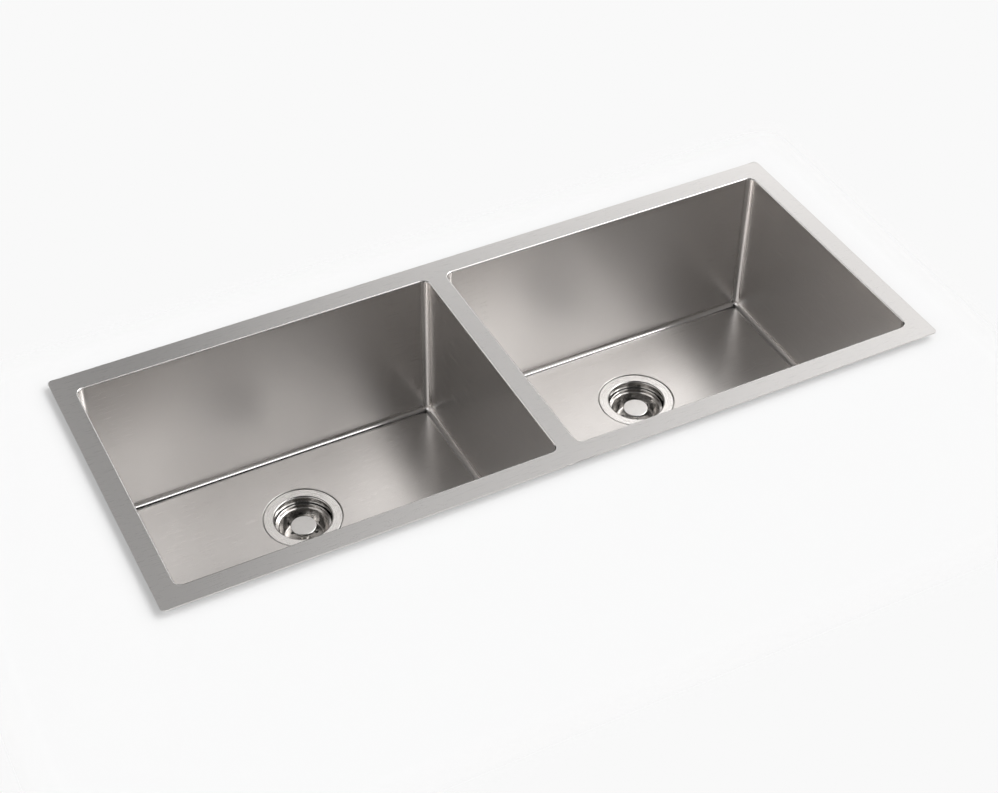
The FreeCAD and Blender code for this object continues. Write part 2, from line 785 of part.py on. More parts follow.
def write(bodies):
    """One STEP file per piece, named by its label."""
    os.makedirs("parts", exist_ok=True)
    for body in bodies:
        body.Shape.exportStep(os.path.join("parts", f"{body.Label}.step"))
        print(f"{body.Label}: {body.Shape.Volume:.0f} mm3")


fill_sheet("sizes", {name: str(value) for name, value in SIZES.items()})
fill_sheet("places", {name: f"={formula}" for name, formula in PLACES.items()})
pieces = [make_top_panel()]
for hand in SIDES:
    pieces += make_side(hand)
check(pieces)
write(pieces)
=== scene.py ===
"""The looks of a double bowl undermount kitchen sink. Lengths are in metres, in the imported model's frame."""

import math

import bpy
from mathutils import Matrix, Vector


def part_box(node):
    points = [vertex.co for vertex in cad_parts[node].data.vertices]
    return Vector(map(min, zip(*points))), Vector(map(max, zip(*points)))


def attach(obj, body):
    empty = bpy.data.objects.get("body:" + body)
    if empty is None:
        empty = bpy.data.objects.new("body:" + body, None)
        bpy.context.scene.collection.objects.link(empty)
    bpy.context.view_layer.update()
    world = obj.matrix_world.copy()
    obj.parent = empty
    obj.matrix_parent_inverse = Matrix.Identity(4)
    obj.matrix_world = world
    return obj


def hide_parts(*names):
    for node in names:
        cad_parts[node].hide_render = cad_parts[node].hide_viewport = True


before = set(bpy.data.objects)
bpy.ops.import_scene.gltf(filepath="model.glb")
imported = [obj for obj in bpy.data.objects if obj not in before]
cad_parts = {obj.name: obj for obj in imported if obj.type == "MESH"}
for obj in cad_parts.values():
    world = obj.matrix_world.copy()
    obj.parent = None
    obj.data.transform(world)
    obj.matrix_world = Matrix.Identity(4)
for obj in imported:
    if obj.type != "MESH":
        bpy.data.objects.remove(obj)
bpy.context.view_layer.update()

MM = 0.001
QUARTER = math.pi / 2

# ---- sizes, and how finely curves are cut

PANEL_LOW, PANEL_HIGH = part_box("top_panel")
SIDES = ("left", "right")
GAUGE = 1.5 * MM
RIM_CORNER = 6 * MM
EDGE_BEND = 2.0 * MM
UNDER_BEND = EDGE_BEND - GAUGE
BOWL_CORNER = 11 * MM
FLOOR_BEND = 10 * MM
RECESS_RADIUS = 57.95 * MM
RECESS_DEPTH = 3 * MM
RECESS_BEND = 1 * MM
DRAIN_HOLE = 45.5 * MM
# the place of both drains: distance from the middle in X and Y, and depth of the recess floor below the rim
DRAIN_AT = (278.25 * MM, 68 * MM, 255 * MM)

FLAT_STEPS = 40
ARC_STEPS = 16
SMALL_ARC_STEPS = ARC_STEPS // 2
ROUND_STEPS = 96
# steps at each end of an arc over which its surface turns from flat to fully bent
FULL_BEND = 4

# which of a piece's materials a face takes
WALL, FLOOR = 0, 1
FLANGE, CUP, BARREL = 0, 1, 2

# The strainer cup's outline from its lip outward, down the barrel and back up inside: radius, height over the
# recess floor and rounding in millimetres, then the paint of the stretch that starts there.
STRAINER_OUTLINE = (
    (41.8, 2.3, 2.5, FLANGE),
    (56.75, 2.3, 0.5, FLANGE),
    (56.75, 1.0, 0, BARREL),
    (43.3, 1.0, 0, BARREL),
    (43.3, -35.5, 0.6, BARREL),
    (23.6, -47.5, 0, BARREL),
    (19.5, -47.5, 0, CUP),
    (19.5, -46.0, 0.8, CUP),
    (23.0, -46.0, 1.5, CUP),
    (41.8, -34.0, 1.5, CUP),
)
# the outline's stretch that carries the thread, which runs from its top to its foot
BARREL_SIDE = 3
THREAD_TOP, THREAD_FOOT = -2.5 * MM, -34.0 * MM
THREAD_PITCH, THREAD_DEPTH = 2.0 * MM, 0.45 * MM
THREAD_STEPS = 6


# ---- mesh building


class Skin:
    """A mesh put together from strips, with an exact normal at each face corner.

    A corner is (position, normal, uv, form). Its form says how far the sheet is bent there and how much
    painted shade darkens it in the drain recess, both from 0 to 1, and the sheet's material reads them from a
    second UV map.
    """

    def __init__(self):
        self.points = []
        self.index = {}
        self.faces = []
        self.normals = []
        self.uvs = []
        self.forms = []
        self.paints = []

    def point(self, co):
        key = tuple(round(c, 7) for c in co)
        if key not in self.index:
            self.index[key] = len(self.points)
            self.points.append(key)
        return self.index[key]

    def face(self, corners, paint=0):
        """One face from its corners. A corner that falls on another is dropped."""
        kept = []
        for co, normal, uv, form in corners:
            i = self.point(co)
            if i not in [k[0] for k in kept]:
                kept.append((i, normal, uv, form))
        if len(kept) < 3:
            return
        self.faces.append([k[0] for k in kept])
        self.normals += [k[1] for k in kept]
        self.uvs += [k[2] for k in kept]
        self.forms += [k[3] for k in kept]
        self.paints.append(paint)

    def strip(self, low, high, paint=0):
        """Faces between two rows of corners, which show on the side that the rows' normals point to."""
        for i in range(len(low) - 1):
            quad = [low[i], low[i + 1], high[i + 1], high[i]]
            a, b, c = (Vector(quad[k][0]) for k in (0, 1, 2))
            d = Vector(quad[3][0])
            facing = (c - a).cross(d - b)
            if facing.dot(Vector(quad[0][1]) + Vector(quad[2][1])) < 0:
                quad.reverse()
            self.face(quad, paint)

    def build(self, name, materials):
        mesh = bpy.data.meshes.new(name)
        mesh.from_pydata(self.points, [], self.faces)
        for layer_name, values in (("UVMap", self.uvs), ("Form", self.forms)):
            layer = mesh.uv_layers.new(name=layer_name)
            layer.data.foreach_set("uv", [c for pair in values for c in pair])
        for material in materials:
            mesh.materials.append(material)
        mesh.polygons.foreach_set("material_index", self.paints)
        mesh.polygons.foreach_set("use_smooth", [True] * len(self.faces))
        mesh.update()
        mesh.normals_split_custom_set(self.normals)
        obj = bpy.data.objects.new(name, mesh)
        bpy.context.scene.collection.objects.link(obj)
        return obj


def rounded_outline(middle, half, radius):
    """Points round a rounded rectangle, as (x, y, outward x, outward y, distance run, share of the bend)."""
    corners = []
    for sx, sy, start in ((1, 1, 0), (-1, 1, 1), (-1, -1, 2), (1, -1, 3)):
        cx = middle[0] + sx * (half[0] - radius)
        cy = middle[1] + sy * (half[1] - radius)
        arc = []
        for i in range(ARC_STEPS + 1):
            angle = (start + i / ARC_STEPS) * QUARTER
            nx, ny = math.cos(angle), math.sin(angle)
            arc.append((cx + radius * nx, cy + radius * ny, nx, ny, bent(i, ARC_STEPS)))
        corners.append(arc)
    points = []
    for k in range(4):
        points += corners[k]
        ax, ay, nx, ny = corners[k][-1][:4]
        bx, by = corners[(k + 1) % 4][0][:2]
        for i in range(1, FLAT_STEPS):
            t = i / FLAT_STEPS
            points.append((ax + (bx - ax) * t, ay + (by - ay) * t, nx, ny, 0.0))
    points.append(points[0])
    run = 0.0
    measured = []
    for i, (x, y, nx, ny, turned) in enumerate(points):
        if i:
            run += math.hypot(x - points[i - 1][0], y - points[i - 1][1])
        measured.append((x, y, nx, ny, run, turned))
    return measured


def grown_outline(middle, half, grow):
    """A bowl's opening in plan, grown on every side."""
    return rounded_outline(middle, (half[0] + grow, half[1] + grow), BOWL_CORNER + grow)


def bent(step, steps):
    """How far a step of an arc counts as bend: 0 at both ends of the arc and 1 over its middle."""
    return min(1.0, step / FULL_BEND, (steps - step) / FULL_BEND)


def level_row(outline, z, out=0.0, up=1.0, bend=0.0, upright=1.0, recess_shade=0.0):
    """Corners along an outline at one height, their normals leaning out by out and up by up."""
    return [
        ((x, y, z), (nx * out, ny * out, up), (run, z), (max(turned * upright, bend), recess_shade))
        for x, y, nx, ny, run, turned in outline
    ]


def flat_row(outline, z, up=1.0, recess_shade=0.0):
    """Corners of a level face, whose UV is its own X and Y."""
    return [((x, y, z), (0, 0, up), (x, y), (0.0, recess_shade)) for x, y, *rest in outline]


def circle_outline(centre, radius, angles):
    """Points round a circle in the form of rounded_outline's, at the given angles."""
    points = []
    for a in angles:
        c, s = math.cos(a), math.sin(a)
        points.append((centre[0] + radius * c, centre[1] + radius * s, c, s, radius * a, 0.0))
    return points


# ---- the pressed sink


def bowl_opening(side):
    """Middle and half size of a bowl's opening, from its node."""
    low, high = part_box(f"{side}_bowl")
    middle = ((low.x + high.x) / 2, (low.y + high.y) / 2)
    half = ((high.x - low.x) / 2 - GAUGE, (high.y - low.y) / 2 - GAUGE)
    return middle, half


def make_panel(steel):
    """The rim sheet and its two drawn collars, down to where the bowls are welded on."""
    skin = Skin()
    middle = ((PANEL_LOW.x + PANEL_HIGH.x) / 2, (PANEL_LOW.y + PANEL_HIGH.y) / 2)
    half = ((PANEL_HIGH.x - PANEL_LOW.x) / 2, (PANEL_HIGH.y - PANEL_LOW.y) / 2)
    outer = rounded_outline(middle, half, RIM_CORNER)
    skin.strip(level_row(outer, 0, 1, 0), level_row(outer, -GAUGE, 1, 0))
    add_sheet(skin, outer, half, EDGE_BEND, 0.0, 1.0)
    add_sheet(skin, outer, half, GAUGE + UNDER_BEND, -GAUGE, -1.0)
    for side in SIDES:
        add_collar(skin, side)
    return finish_piece(skin.build("rim_panel", [steel]), "sink", "sink_steel", "top_panel")


def add_sheet(skin, outer, half, grow, z, up):
    """The level face between the outer edge and both openings, which are grown by their bends."""
    for side, sign in (("left", -1), ("right", 1)):
        middle, opening = bowl_opening(side)
        hole = grown_outline(middle, opening, grow)
        edge = half_outline(outer, half, sign, hole, middle)
        skin.strip(flat_row(hole, z, up), flat_row(edge, z, up))


def half_outline(outer, half, sign, hole, middle):
    """For each point round an opening, the point straight out from it on its own half of the rim's edge.

    The halves meet along the bridge's middle.
    """
    reach = half[0] * sign
    low_x, high_x = (reach, 0.0) if sign < 0 else (0.0, reach)
    points = []
    for x, y, nx, ny, run, turned in hole:
        dx, dy = x - middle[0], y - middle[1]
        t = min(
            steps_to(dx, (high_x if dx > 0 else low_x) - middle[0]),
            steps_to(dy, (half[1] if dy > 0 else -half[1]) - middle[1]),
        )
        points.append([middle[0] + dx * t, middle[1] + dy * t, nx, ny, run, turned])
    snap_corners(points, low_x, high_x, half[1], sign)
    return [tuple(p) for p in points]


def steps_to(step, distance):
    """How many steps reach a distance. A step of nothing never does."""
    return distance / step if abs(step) > 1e-9 else math.inf


def snap_corners(points, low_x, high_x, half_y, sign):
    """Bring the point nearest each corner of the half sheet onto it, and round the outer two corners."""
    for cx in (low_x, high_x):
        for cy in (-half_y, half_y):
            nearest = min(points, key=lambda p: math.hypot(p[0] - cx, p[1] - cy))
            nearest[0], nearest[1] = cx, cy
    outer_x = low_x if sign < 0 else high_x
    for p in points:
        dx = RIM_CORNER - abs(outer_x - p[0])
        dy = RIM_CORNER - (half_y - abs(p[1]))
        if dx > 0 and dy > 0:
            length = math.hypot(dx, dy)
            cx = outer_x - math.copysign(RIM_CORNER, outer_x)
            cy = math.copysign(half_y - RIM_CORNER, p[1])
            p[0] = cx + math.copysign(dx / length * RIM_CORNER, outer_x)
            p[1] = cy + math.copysign(dy / length * RIM_CORNER, p[1])


def add_collar(skin, side):
    """The bends and short walls round one opening, on both faces of the sheet."""
    middle, half = bowl_opening(side)
    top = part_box(f"{side}_bowl")[1].z
    inner_rows, outer_rows = [], []
    for i in range(ARC_STEPS + 1):
        angle = i / ARC_STEPS * QUARTER
        c, s = math.cos(angle), math.sin(angle)
        grow = EDGE_BEND * (1 - s)
        outline = grown_outline(middle, half, grow)
        inner_rows.append(level_row(outline, -EDGE_BEND * (1 - c), -s, c, bent(i, ARC_STEPS), s))
        grow = GAUGE + UNDER_BEND * (1 - s)
        outline = grown_outline(middle, half, grow)
        outer_rows.append(level_row(outline, -GAUGE - UNDER_BEND * (1 - c), s, -c, bent(i, ARC_STEPS), s))
    inner = grown_outline(middle, half, 0.0)
    outer = grown_outline(middle, half, GAUGE)
    inner_rows.append(level_row(inner, top, -1, 0))
    outer_rows.append(level_row(outer, top, 1, 0))
    for rows in (inner_rows, outer_rows):
        for low, high in zip(rows, rows[1:]):
            skin.strip(low, high)
    skin.strip(level_row(inner, top, 0, -1), level_row(outer, top, 0, -1))


def make_bowl(side, wall_steel, floor_steel):
    """One bowl: its walls, floor bend, floor and drain recess, inside and outside."""
    skin = Skin()
    middle, half = bowl_opening(side)
    low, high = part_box(f"{side}_bowl")
    floor = low.z + GAUGE + RECESS_DEPTH
    drain = drain_centre(side)
    for thickness in (0.0, GAUGE):
        add_bowl_face(skin, middle, half, thickness, high.z, floor, drain)
    rim_in, rim_out = grown_outline(middle, half, 0.0), grown_outline(middle, half, GAUGE)
    skin.strip(level_row(rim_in, high.z, 0, 1), level_row(rim_out, high.z, 0, 1))
    piece = skin.build(f"{side}_bowl_skin", [wall_steel, floor_steel])
    return finish_piece(piece, "sink", "sink_steel", f"{side}_bowl")


def drain_centre(side):
    """The drain's axis, from its strainer node."""
    low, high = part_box(f"{side}_strainer_body")
    return ((low.x + high.x) / 2, (low.y + high.y) / 2)


def add_bowl_face(skin, middle, half, thickness, top, floor, drain):
    """One face of a bowl's sheet, from its top edge to the drain hole.

    With a thickness of 0 it is the inside, and with the gauge it is the outside.
    """
    inside = thickness == 0.0
    sign = -1.0 if inside else 1.0
    bend = FLOOR_BEND + thickness
    low_z = floor - thickness
    rows = [level_row(grown_outline(middle, half, thickness), top, sign, 0)]
    for i in range(ARC_STEPS + 1):
        angle = i / ARC_STEPS * QUARTER
        c, s = math.cos(angle), math.sin(angle)
        inset = bend * (1 - c)
        outline = grown_outline(middle, half, thickness - inset)
        rows.append(level_row(outline, low_z + bend * (1 - s), sign * c, -sign * s, bent(i, ARC_STEPS), c))
    for low, high in zip(rows, rows[1:]):
        skin.strip(low, high, WALL)
    add_floor(skin, outline, low_z, drain, -sign, inside)


def add_floor(skin, outline, floor, drain, up, inside):
    """The level floor out to its bend, and the recess and hole of the drain."""
    angles = [math.atan2(y - drain[1], x - drain[0]) for x, y, nx, ny, run, turned in outline]
    if inside:
        radius, bend = RECESS_RADIUS, RECESS_BEND
    else:
        radius, bend = RECESS_RADIUS + GAUGE, 0.0
    edge = circle_outline(drain, radius + bend, angles)
    skin.strip(flat_row(outline, floor, up), flat_row(edge, floor, up), FLOOR)
    rows = []
    # painted shade: inside the bowl, the recess's bend, wall and floor are darkened where the strainer's
    # flange overhangs
    recess_shade = 1.0 if inside else 0.0
    for i in range(SMALL_ARC_STEPS + 1):
        angle = i / SMALL_ARC_STEPS * QUARTER
        c, s = math.cos(angle), math.sin(angle)
        ring = circle_outline(drain, radius + bend * (1 - s), angles)
        rows.append(level_row(ring, floor - bend * (1 - c), -up * s, up * c, recess_shade=recess_shade * (1 - c)))
    wall = circle_outline(drain, radius, angles)
    rows.append(level_row(wall, floor - RECESS_DEPTH, -up, 0, recess_shade=recess_shade))
    for low, high in zip(rows, rows[1:]):
        skin.strip(low, high, FLOOR)
    hole = circle_outline(drain, DRAIN_HOLE, angles)
    recess = floor - RECESS_DEPTH
    skin.strip(flat_row(wall, recess, up, recess_shade), flat_row(hole, recess, up, recess_shade), FLOOR)
    if inside:
        skin.strip(level_row(hole, recess, -1, 0), level_row(hole, recess - GAUGE, -1, 0))


# ---- the strainer cup


def make_strainer(side, materials):
    """The strainer's cup, turned from its outline, with a cut thread on its barrel."""
    skin = Skin()
    centre = drain_centre(side)
    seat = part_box(f"{side}_bowl")[0].z + GAUGE
    angles = [2 * math.pi * i / ROUND_STEPS for i in range(ROUND_STEPS + 1)]
    for stretch, paint in turned_stretches(STRAINER_OUTLINE):
        rows = [turned_row(centre, seat, angles, *place) for place in stretch]
        for low, high in zip(rows, rows[1:]):
            skin.strip(low, high, paint)
    add_thread(skin, centre, seat, angles, STRAINER_OUTLINE[BARREL_SIDE][0] * MM)
    piece = skin.build(f"{side}_strainer_cup", materials)
    return finish_piece(piece, "sink", "strainer_steel", f"{side}_strainer_body")


def turned_row(centre, seat, angles, radius, height, nr, nz, run):
    """Corners round a circle of a turned piece, their U along the circle and V along the outline."""
    return [
        ((x, y, seat + height), (nx * nr, ny * nr, nz), (way, run), (0.0, 0.0))
        for x, y, nx, ny, way, turned in circle_outline(centre, radius, angles)
    ]


def turned_stretches(outline):
    """The closed outline's straight and rounded stretches, each as (radius, height, normal, run) places."""
    count = len(outline)
    corners = [Vector((r * MM, z * MM)) for r, z, rounding, paint in outline]
    roundings = [rounding * MM for r, z, rounding, paint in outline]
    stretches, run = [], 0.0
    for k in range(count):
        following, next_but_one = (k + 1) % count, (k + 2) % count
        start, end, beyond = corners[k], corners[following], corners[next_but_one]
        paint = outline[k][3]
        way = (end - start).normalized()
        after = (beyond - end).normalized()
        normal = Vector((-way.y, way.x))
        begin = start + way * rounding_length(corners[k - 1], start, end, roundings[k])
        stop = end - way * rounding_length(start, end, beyond, roundings[following])
        length = (stop - begin).length
        pairs = [((*begin, *normal, run), (*stop, *normal, run + length))]
        if k == BARREL_SIDE:
            pairs = ends_beside_thread(begin, stop, normal, run)
        stretches += [(pair, paint) for pair in pairs]
        run += length
        if roundings[following]:
            arc = rounded_corner(stop, normal, Vector((-after.y, after.x)), roundings[following], run)
            stretches.append((arc, paint))
            run = arc[-1][-1]
    return stretches


def ends_beside_thread(begin, stop, normal, run):
    """The barrel's straight side above and below its thread."""
    upper, lower = ((begin.y, THREAD_TOP), (THREAD_FOOT, stop.y))
    return [tuple((begin.x, z, *normal, run + begin.y - z) for z in ends) for ends in (upper, lower)]


def rounding_length(before, corner, after, radius):
    """How much of a side a rounding takes up next to a corner."""
    turn = (corner - before).angle(after - corner)
    return radius * math.tan(turn / 2)


def rounded_corner(start, normal, last, radius, run):
    """The places along a rounding from one normal to the next.

    It bulges where the sides turn away from the normal, and is hollow where they turn towards it.
    """
    turn = normal.angle_signed(last)
    bulge = 1.0 if turn > 0 else -1.0
    centre = start - normal * radius * bulge
    places = []
    for i in range(SMALL_ARC_STEPS + 1):
        angle = turn * i / SMALL_ARC_STEPS
        c, s = math.cos(angle), math.sin(angle)
        turned = Vector((normal.x * c + normal.y * s, normal.y * c - normal.x * s))
        place = centre + turned * radius * bulge
        places.append((*place, *turned, run + abs(angle) * radius))
    return places


def add_thread(skin, centre, seat, angles, radius):
    """A rounded thread that winds down the barrel and runs out at both ends."""
    steps = round((THREAD_TOP - THREAD_FOOT) / THREAD_PITCH * THREAD_STEPS)
    rows = []
    for i in range(steps + 1):
        height = THREAD_TOP + (THREAD_FOOT - THREAD_TOP) * i / steps
        fade = min(1.0, i / THREAD_STEPS, (steps - i) / THREAD_STEPS)
        row = []
        for a in angles:
            phase = 2 * math.pi * height / THREAD_PITCH + a
            groove = THREAD_DEPTH * fade * (1 - math.cos(phase)) / 2
            slope = THREAD_DEPTH * fade * math.sin(phase) * math.pi / THREAD_PITCH
            r, nx, ny = radius - groove, math.cos(a), math.sin(a)
            co = (centre[0] + r * nx, centre[1] + r * ny, seat + height)
            row.append((co, (nx, ny, slope), (radius * a, -height), (0.0, 0.0)))
        rows.append(row)
    for low, high in zip(rows, rows[1:]):
        skin.strip(low, high, BARREL)


def finish_piece(obj, body, slot, *nodes):
    """Tie a piece to its body and hide the nodes that it stands for. Its slot is not used."""
    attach(obj, body)
    if nodes:
        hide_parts(*nodes)
    return obj


# ---- materials
# Colours are linear, roughness runs from 0 to 1, and a grain's scale is its repeats per metre on each axis.

SHEET_COLOUR = (0.70, 0.68, 0.665)
SHEET_ROUGH, MIDDLE_ROUGH, BEND_ROUGH = 0.28, 0.43, 0.16
SHEET_ANISOTROPY = 0.3
QUARTER_TURN = 0.25
SHEET_GRAIN, SHEET_CLOUD = (25, 2600, 1), (9, 9, 9)
SHEET_TONES, SHEET_VARIES, BEND_VARIES = (0.985, 1.015), 0.02, 0.015
SHEET_RELIEF = 0.002 * MM
# painted shade: the colour that the drain recess under the strainer's flange is darkened towards
RECESS_SHADE_COLOUR = (0.36, 0.35, 0.34)
# how far along the wall from the drain the rubbed middle is full, and where it has faded out
MIDDLE_REACH = (70 * MM, 200 * MM)

# turning marks, by the turn in radians, the radius and the depth
TURNING_MARKS, TURNED_CLOUD, RIPPLE_RINGS = (2, 900, 900), (3, 60, 60), (0.8, 260, 260)
TURNED_TONES, TURNED_VARIES = (0.94, 1.04), (0.8, 1.25)
TURNED_RELIEF = 0.004 * MM
EDGE_WEAR = 0.6 * MM
WORN_STEEL, WORN_ROUGH = (0.86, 0.85, 0.84), 0.12
# painted shade low in the basket, under the knob: how soft its top is, then its darker colour and its
# roughness
PAINTED_SHADE_FADE = 2.5 * MM
PAINTED_SHADE_STEEL, PAINTED_SHADE_ROUGH = (0.36, 0.345, 0.33), 0.22
OUTLET_RADIUS = 23.6 * MM
KNOB_RADIUS = 18.6 * MM
# the depth below the recess floor from which the basket is darkened as painted shade under the knob
BASKET_SHADE_DEPTH = 37 * MM

STUFF_CLOUD, STUFF_VARIES = (40, 40, 40), 0.08
FLECK_FROM, FLECK_TO = 0.62, 0.72
TURNED_STEEL = (0.62, 0.61, 0.6)


def new_material(name):
    """An empty material with its node tree and surface shader."""
    material = bpy.data.materials.new(name)
    material.use_nodes = True
    tree = material.node_tree
    return material, tree, tree.nodes["Principled BSDF"]


def add_node(tree, kind, **settings):
    """A node with some of its inputs and properties set by name."""
    node = tree.nodes.new(kind)
    for key, value in settings.items():
        if key in node.inputs:
            node.inputs[key].default_value = value
        else:
            setattr(node, key, value)
    return node


def join(tree, value, socket):
    """Link a socket to another, or set it to a plain value."""
    if isinstance(value, bpy.types.NodeSocket):
        tree.links.new(value, socket)
    else:
        socket.default_value = value


def math_node(tree, operation, a, b=None):
    """A maths node with sockets or plain numbers as its inputs."""
    node = add_node(tree, "ShaderNodeMath", operation=operation)
    for i, value in enumerate((a, b)):
        if value is not None:
            join(tree, value, node.inputs[i])
    return node.outputs["Value"]


def product(tree, a, b):
    """Two values multiplied. The second may be a plain number."""
    return math_node(tree, "MULTIPLY", a, b)


def smooth_step(tree, value, start, end):
    """A smooth ramp from 0 where the value is start to 1 where it is end."""
    node = add_node(tree, "ShaderNodeMapRange", interpolation_type="SMOOTHSTEP")
    node.inputs["From Min"].default_value = start
    node.inputs["From Max"].default_value = end
    tree.links.new(value, node.inputs["Value"])
    return node.outputs["Result"]


def spread(tree, value, low, high):
    """A 0 to 1 value spread over another range."""
    node = add_node(tree, "ShaderNodeMapRange")
    node.inputs["To Min"].default_value = low
    node.inputs["To Max"].default_value = high
    tree.links.new(value, node.inputs["Value"])
    return node.outputs["Result"]


def mixed(tree, factor, a, b):
    """A number between two by a factor."""
    node = add_node(tree, "ShaderNodeMix", data_type="FLOAT")
    for key, value in (("Factor", factor), ("A", a), ("B", b)):
        join(tree, value, node.inputs[key])
    return node.outputs["Result"]


def tinted(tree, factor, colour, tones):
    """A colour made darker or lighter by a factor, between two multiples of itself."""
    low, high = tones
    node = add_node(tree, "ShaderNodeMix", data_type="RGBA")
    node.inputs["A"].default_value = (*(c * low for c in colour), 1)
    node.inputs["B"].default_value = (*(min(1, c * high) for c in colour), 1)
    tree.links.new(factor, node.inputs["Factor"])
    return node.outputs[2]


def tinted_between(tree, factor, colour, other):
    """A colour socket faded towards a plain colour by a factor."""
    node = add_node(tree, "ShaderNodeMix", data_type="RGBA")
    tree.links.new(factor, node.inputs["Factor"])
    tree.links.new(colour, node.inputs[6])
    node.inputs[7].default_value = (*other, 1)
    return node.outputs[2]


def stretched_noise(tree, coordinates, scale, detail=4.0):
    """Noise on coordinates stretched by a different scale along each axis."""
    mapping = add_node(tree, "ShaderNodeMapping")
    mapping.inputs["Scale"].default_value = scale
    tree.links.new(coordinates, mapping.inputs["Vector"])
    noise = add_node(tree, "ShaderNodeTexNoise", Scale=1.0, Detail=detail)
    tree.links.new(mapping.outputs["Vector"], noise.inputs["Vector"])
    return noise.outputs["Fac"]


def bump(tree, shader, height, distance):
    """Relief on the shader's normal."""
    node = add_node(tree, "ShaderNodeBump", Strength=1.0, Distance=distance)
    tree.links.new(height, node.inputs["Height"])
    tree.links.new(node.outputs["Normal"], shader.inputs["Normal"])


def split_axes(tree, vector):
    """The X, Y and Z of a vector as sockets."""
    node = add_node(tree, "ShaderNodeSeparateXYZ")
    tree.links.new(vector, node.inputs["Vector"])
    return node.outputs["X"], node.outputs["Y"], node.outputs["Z"]


def object_place(tree):
    """A surface point's own coordinates."""
    return add_node(tree, "ShaderNodeTexCoord").outputs["Object"]


def sheet_steel(name, rubbed_middle):
    """Satin sheet with its grain along the UV map's U, smoother where it is bent and darker as painted shade
    in the recess.

    With a rubbed middle it is rougher in the middle of the bowls' long walls.
    """
    material, tree, shader = new_material(name)
    uv = add_node(tree, "ShaderNodeUVMap", uv_map="UVMap").outputs["UV"]
    form = add_node(tree, "ShaderNodeUVMap", uv_map="Form").outputs["UV"]
    bend, recess_shade = split_axes(tree, form)[:2]
    grain = stretched_noise(tree, uv, SHEET_GRAIN)
    cloud = stretched_noise(tree, uv, SHEET_CLOUD, 2.0)
    colour = tinted(tree, cloud, SHEET_COLOUR, SHEET_TONES)
    # the base colour darkens towards the painted shade colour in the drain recess
    tree.links.new(tinted_between(tree, recess_shade, colour, RECESS_SHADE_COLOUR), shader.inputs["Base Color"])
    rough = spread(tree, grain, SHEET_ROUGH - SHEET_VARIES, SHEET_ROUGH + SHEET_VARIES)
    if rubbed_middle:
        rubbed = spread(tree, grain, MIDDLE_ROUGH - SHEET_VARIES, MIDDLE_ROUGH + SHEET_VARIES)
        rough = mixed(tree, beside_drain(tree), rough, rubbed)
    bent_rough = spread(tree, grain, BEND_ROUGH - BEND_VARIES, BEND_ROUGH + BEND_VARIES)
    tree.links.new(mixed(tree, bend, rough, bent_rough), shader.inputs["Roughness"])
    shader.inputs["Metallic"].default_value = 1.0
    shader.inputs["Anisotropic"].default_value = SHEET_ANISOTROPY
    shader.inputs["Anisotropic Rotation"].default_value = QUARTER_TURN
    tangent = add_node(tree, "ShaderNodeTangent", direction_type="UV_MAP", uv_map="UVMap")
    tree.links.new(tangent.outputs["Tangent"], shader.inputs["Tangent"])
    bump(tree, shader, grain, SHEET_RELIEF)
    return material


def beside_drain(tree):
    """1 in the middle of a bowl's long walls, fading to 0 towards their ends."""
    along = math_node(tree, "ABSOLUTE", split_axes(tree, object_place(tree))[0])
    away = math_node(tree, "ABSOLUTE", math_node(tree, "SUBTRACT", along, DRAIN_AT[0]))
    return smooth_step(tree, away, MIDDLE_REACH[1], MIDDLE_REACH[0])


def drain_place(tree):
    """A surface point's radius, depth and turn about its own drain's axis. The drains are mirror images."""
    mirrored = add_node(tree, "ShaderNodeVectorMath", operation="ABSOLUTE")
    moved = add_node(tree, "ShaderNodeVectorMath", operation="SUBTRACT")
    level = add_node(tree, "ShaderNodeVectorMath", operation="MULTIPLY")
    length = add_node(tree, "ShaderNodeVectorMath", operation="LENGTH")
    tree.links.new(object_place(tree), mirrored.inputs[0])
    tree.links.new(mirrored.outputs["Vector"], moved.inputs[0])
    moved.inputs[1].default_value = DRAIN_AT
    tree.links.new(moved.outputs["Vector"], level.inputs[0])
    level.inputs[1].default_value = (1, 1, 0)
    tree.links.new(level.outputs["Vector"], length.inputs[0])
    x, y, depth = split_axes(tree, moved.outputs["Vector"])
    return length.outputs["Value"], depth, math_node(tree, "ARCTAN2", y, x)


def turned_metal(name, colour, rough, ripple=0.0, edge=None, shade_depth=None):
    """Metal turned or spun about the drain's axis, worn bright past its edge, and darker below a depth as
    painted shade.

    The edge is a radius and the shade depth a depth below the recess floor.
    """
    material, tree, shader = new_material(name)
    radius, depth, turn = drain_place(tree)
    rings_at = add_node(tree, "ShaderNodeCombineXYZ")
    for key, socket in (("X", turn), ("Y", radius), ("Z", depth)):
        tree.links.new(socket, rings_at.inputs[key])
    place = rings_at.outputs["Vector"]
    grain = stretched_noise(tree, place, TURNING_MARKS)
    cloud = stretched_noise(tree, place, TURNED_CLOUD, 2.0)
    colour_now = tinted(tree, cloud, colour, TURNED_TONES)
    low, high = TURNED_VARIES
    rough_now = spread(tree, grain, rough * low, rough * high)
    if edge:
        worn = smooth_step(tree, radius, edge - EDGE_WEAR, edge)
        colour_now = tinted_between(tree, worn, colour_now, WORN_STEEL)
        rough_now = mixed(tree, worn, rough_now, WORN_ROUGH)
    # painted shade: a darker colour and another roughness below the given depth
    if shade_depth:
        shaded = smooth_step(tree, depth, shade_depth - PAINTED_SHADE_FADE, shade_depth)
        colour_now = tinted_between(tree, shaded, colour_now, PAINTED_SHADE_STEEL)
        rough_now = mixed(tree, shaded, rough_now, PAINTED_SHADE_ROUGH)
    tree.links.new(colour_now, shader.inputs["Base Color"])
    tree.links.new(rough_now, shader.inputs["Roughness"])
    shader.inputs["Metallic"].default_value = 1.0
    height = grain
    if ripple:
        rings = stretched_noise(tree, place, RIPPLE_RINGS, 1.0)
        height = math_node(tree, "ADD", grain, product(tree, rings, ripple))
    bump(tree, shader, height, TURNED_RELIEF)
    return material


